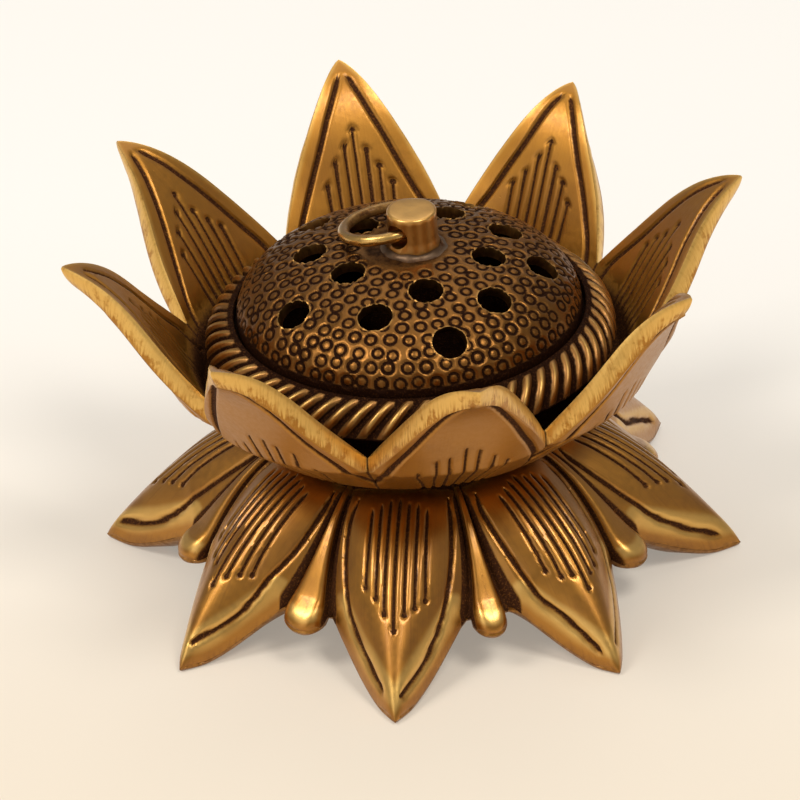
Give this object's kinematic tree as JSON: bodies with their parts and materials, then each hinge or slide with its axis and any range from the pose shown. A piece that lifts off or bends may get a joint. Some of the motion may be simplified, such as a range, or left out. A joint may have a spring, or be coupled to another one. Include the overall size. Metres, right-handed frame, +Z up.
{
  "type": "incense burner",
  "caption": "Free-standing brass lotus incense burner: petalled foot and cup around a fire bowl, with a pierced domed lid that lifts by a knob and ring.",
  "frame": {"origin": "middle of the footprint, at the height of the surface that the petal tips stand on", "axes": "+Z up along the axis of the foot, cup and lid; a foot petal points along -Y, to the front"},
  "size_m": [0.1365, 0.1368, 0.0813],
  "materials": {
    "petal_brass": "antique, rubbed bright on high edges, brown in the cuts",
    "bowl_brass": "antique, dark between the ribs",
    "fastener_brass": "plain",
    "lid_brass": "antique copper brown, punched",
    "knob_brass": "satin, rubbed",
    "solder": "dull grey solder",
    "ring_brass": "dark, rubbed on the outside"
  },
  "bodies": {
    "burner": {"lotus_base": "petal_brass", "lotus_cup": "petal_brass", "fire_bowl": "bowl_brass", "clamp_stud": "fastener_brass", "clamp_washer": "fastener_brass", "clamp_nut": "fastener_brass"},
    "lid": {"pierced_lid": "lid_brass", "lid_knob": "knob_brass", "knob_solder": "solder"},
    "ring": {"pull_ring": "ring_brass"}
  },
  "joints": [
    {"name": "lid_lift", "type": "slide", "parent": "burner", "child": "lid", "axis": [0, 0, 1], "range_m": [0, 0.06]},
    {"name": "ring_swing", "type": "hinge", "parent": "lid", "child": "ring", "pos_m": [0.00149, 0.00018, 0.0768], "axis": [0.5878, 0.809, 0], "range_deg": [0, 155]}
  ]
}
